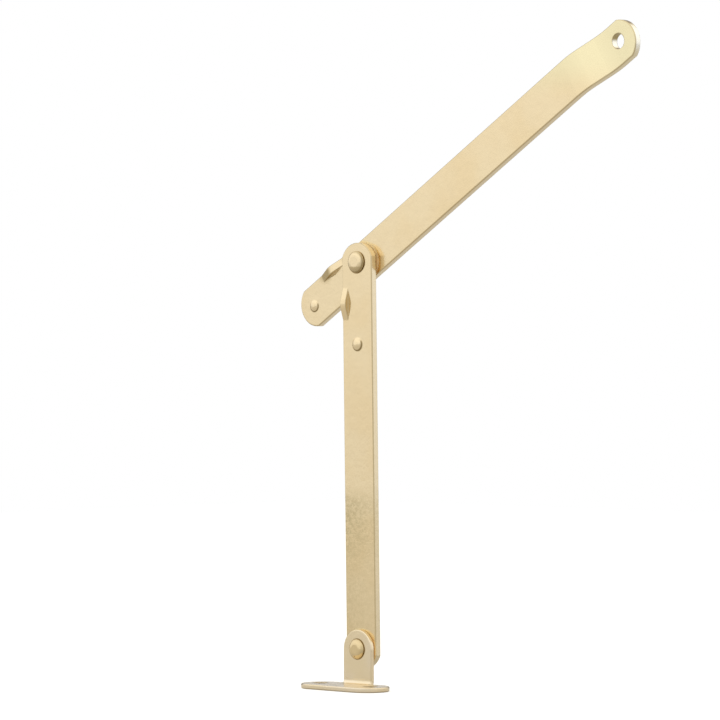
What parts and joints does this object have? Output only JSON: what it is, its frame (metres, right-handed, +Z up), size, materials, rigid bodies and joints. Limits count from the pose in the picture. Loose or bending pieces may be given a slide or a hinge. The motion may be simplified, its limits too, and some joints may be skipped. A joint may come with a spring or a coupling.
{
  "type": "lid stay",
  "caption": "Folding lid stay: two riveted flat arms on a bent foot bracket, with a stop and a detent that hold it straight.",
  "frame": {"origin": "midway between the two foot screw holes, on the underside of the foot plate", "axes": "+Z up from the surface that the foot is screwed to, +X along the foot plate on the side that the upper arm points to, +Y towards the back, where the arms lie behind the bracket's tab"},
  "size_m": [0.1361, 0.0227, 0.2017],
  "materials": {
    "brass_plate": "satin brass plating on steel strip",
    "brass_plate_rivets": "satin brass plating on steel rivets"
  },
  "bodies": {
    "foot": {"foot_bracket": "brass_plate"},
    "lower_link": {"lower_arm": "brass_plate", "foot_rivet": "brass_plate_rivets"},
    "upper_link": {"upper_arm": "brass_plate", "elbow_rivet": "brass_plate_rivets"}
  },
  "joints": [
    {"name": "foot_pivot", "type": "hinge", "parent": "foot", "child": "lower_link", "pos_m": [0, 0.0068, 0.0122], "axis": [0, 1, 0], "range_deg": [-90, 90]},
    {"name": "elbow_pivot", "type": "hinge", "parent": "lower_link", "child": "upper_link", "pos_m": [-0.00167, 0.01005, 0.13169], "axis": [0, -1, 0], "range_deg": [-121, 58.95]}
  ]
}
